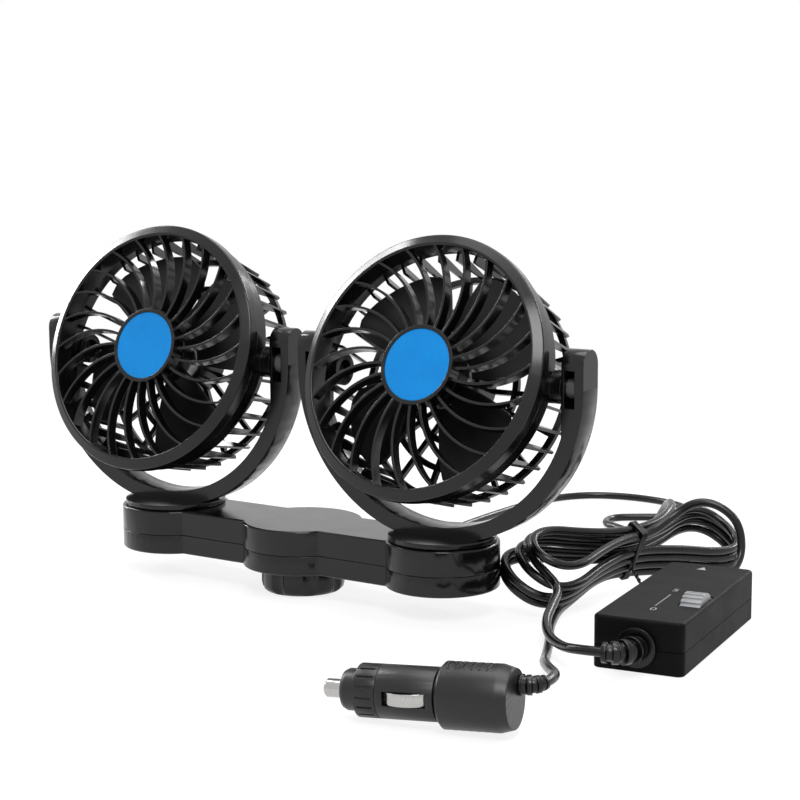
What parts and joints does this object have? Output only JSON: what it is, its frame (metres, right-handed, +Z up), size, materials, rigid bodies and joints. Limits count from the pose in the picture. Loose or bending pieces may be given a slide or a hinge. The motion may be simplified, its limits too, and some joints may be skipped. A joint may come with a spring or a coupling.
{
  "type": "dual head car fan",
  "caption": "Twin tilting fan heads in swivel yokes on a clamp base with a star knob, a corded speed box with a thumbwheel and a vehicle socket plug.",
  "frame": {"origin": "centre of the clamp knob's underside, on the floor", "axes": "+Z up, the fans face -Y, +X to the right seen from the front"},
  "size_m": [0.3814, 0.4406, 0.1767],
  "materials": {
    "shell": "glossy moulded black",
    "case": "satin moulded black",
    "badge": "smooth blue",
    "wheel": "silver grey",
    "nickel": "bright plated",
    "steel": "plain steel",
    "brass": "plain brass",
    "board": "green laminate",
    "fuse": "clear tube",
    "cord": "soft black jacket"
  },
  "bodies": {
    "base": {"base_upper_shell": "shell", "base_lower_shell": "shell", "base_screws": "steel", "clamp_stud": "steel", "cord_grommet": "cord", "wire_splice": "case", "box_upper_shell": "case", "box_lower_shell": "case", "box_screws": "steel", "circuit_board": "board", "speed_sensor": "case", "box_near_boot": "cord", "box_far_boot": "cord", "plug_cap": "case", "plug_barrel": "case", "plug_handle": "case", "plug_fuse": "fuse", "plug_boot": "cord", "fan_cord": "cord", "box_cord": "cord", "plug_cord": "cord", "cord_hank": "cord", "cord_tie": "case"},
    "clamp_washer": {"clamp_washer": "steel"},
    "clamp_knob": {"clamp_knob": "shell", "clamp_nut": "brass"},
    "speed_wheel": {"speed_wheel": "wheel", "wheel_axle": "steel"},
    "plug_pin": {"plug_pin": "nickel"},
    "plug_contact_far": {"plug_contact_far": "nickel"},
    "plug_contact_near": {"plug_contact_near": "nickel"},
    "left_stand": {"left_yoke": "shell", "left_swivel_clip": "steel", "left_motor_lead": "cord"},
    "left_head": {"left_front_grille": "shell", "left_hub_badge": "badge", "left_rear_cage": "shell", "left_motor_can": "steel", "left_motor_cap": "case", "left_pivot_pins": "shell"},
    "left_rotor": {"left_impeller": "shell", "left_motor_shaft": "steel"},
    "right_stand": {"right_yoke": "shell", "right_swivel_clip": "steel", "right_motor_lead": "cord"},
    "right_head": {"right_front_grille": "shell", "right_hub_badge": "badge", "right_rear_cage": "shell", "right_motor_can": "steel", "right_motor_cap": "case", "right_pivot_pins": "shell"},
    "right_rotor": {"right_impeller": "shell", "right_motor_shaft": "steel"}
  },
  "joints": [
    {"name": "left_swivel", "type": "hinge", "parent": "base", "child": "left_stand", "pos_m": [-0.0817, 0, 0.0349], "axis": [0, 0, 1], "range_deg": [-175, 175]},
    {"name": "left_tilt", "type": "hinge", "parent": "left_stand", "child": "left_head", "pos_m": [-0.0817, 0, 0.1111], "axis": [-0.9991, -0.0419, 0], "range_deg": [-108, 72]},
    {"name": "left_spin", "type": "hinge", "parent": "left_head", "child": "left_rotor", "pos_m": [-0.0817, 0, 0.1111], "axis": [0.0398, -0.9502, 0.309], "continuous": true},
    {"name": "right_swivel", "type": "hinge", "parent": "base", "child": "right_stand", "pos_m": [0.0817, 0, 0.0349], "axis": [0, 0, 1], "range_deg": [-175, 175]},
    {"name": "right_tilt", "type": "hinge", "parent": "right_stand", "child": "right_head", "pos_m": [0.0817, 0, 0.1111], "axis": [-0.9998, -0.0192, 0], "range_deg": [-111.3, 68.7]},
    {"name": "right_spin", "type": "hinge", "parent": "right_head", "child": "right_rotor", "pos_m": [0.0817, 0, 0.1111], "axis": [0.0179, -0.9315, 0.3633], "continuous": true},
    {"name": "knob_lift", "type": "slide", "parent": "base", "child": "clamp_washer", "axis": [0, 0, 1], "range_m": [-0.005, 0]},
    {"name": "knob_turn", "type": "hinge", "parent": "clamp_washer", "child": "clamp_knob", "pos_m": [0, 0, 0], "axis": [0, 0, 1], "range_deg": [-1440, 0]},
    {"name": "wheel_turn", "type": "hinge", "parent": "base", "child": "speed_wheel", "pos_m": [0.21099, 0.00047, 0.0158], "axis": [0.991, 0.134, 0], "range_deg": [-135, 135]},
    {"name": "pin_press", "type": "slide", "parent": "base", "child": "plug_pin", "axis": [0.9768, 0.2076, 0.0523], "range_m": [0, 0.003], "stiffness_N_per_m": 600},
    {"name": "contact_far_press", "type": "slide", "parent": "base", "child": "plug_contact_far", "axis": [0.2079, -0.9781, 0], "range_m": [0, 0.0012], "stiffness_N_per_m": 1500},
    {"name": "contact_near_press", "type": "slide", "parent": "base", "child": "plug_contact_near", "axis": [-0.2079, 0.9781, 0], "range_m": [0, 0.0012], "stiffness_N_per_m": 1500}
  ],
  "couplings": [
    {"joint": "knob_turn", "follows": "knob_lift", "rad_per_m": 5026.5}
  ]
}
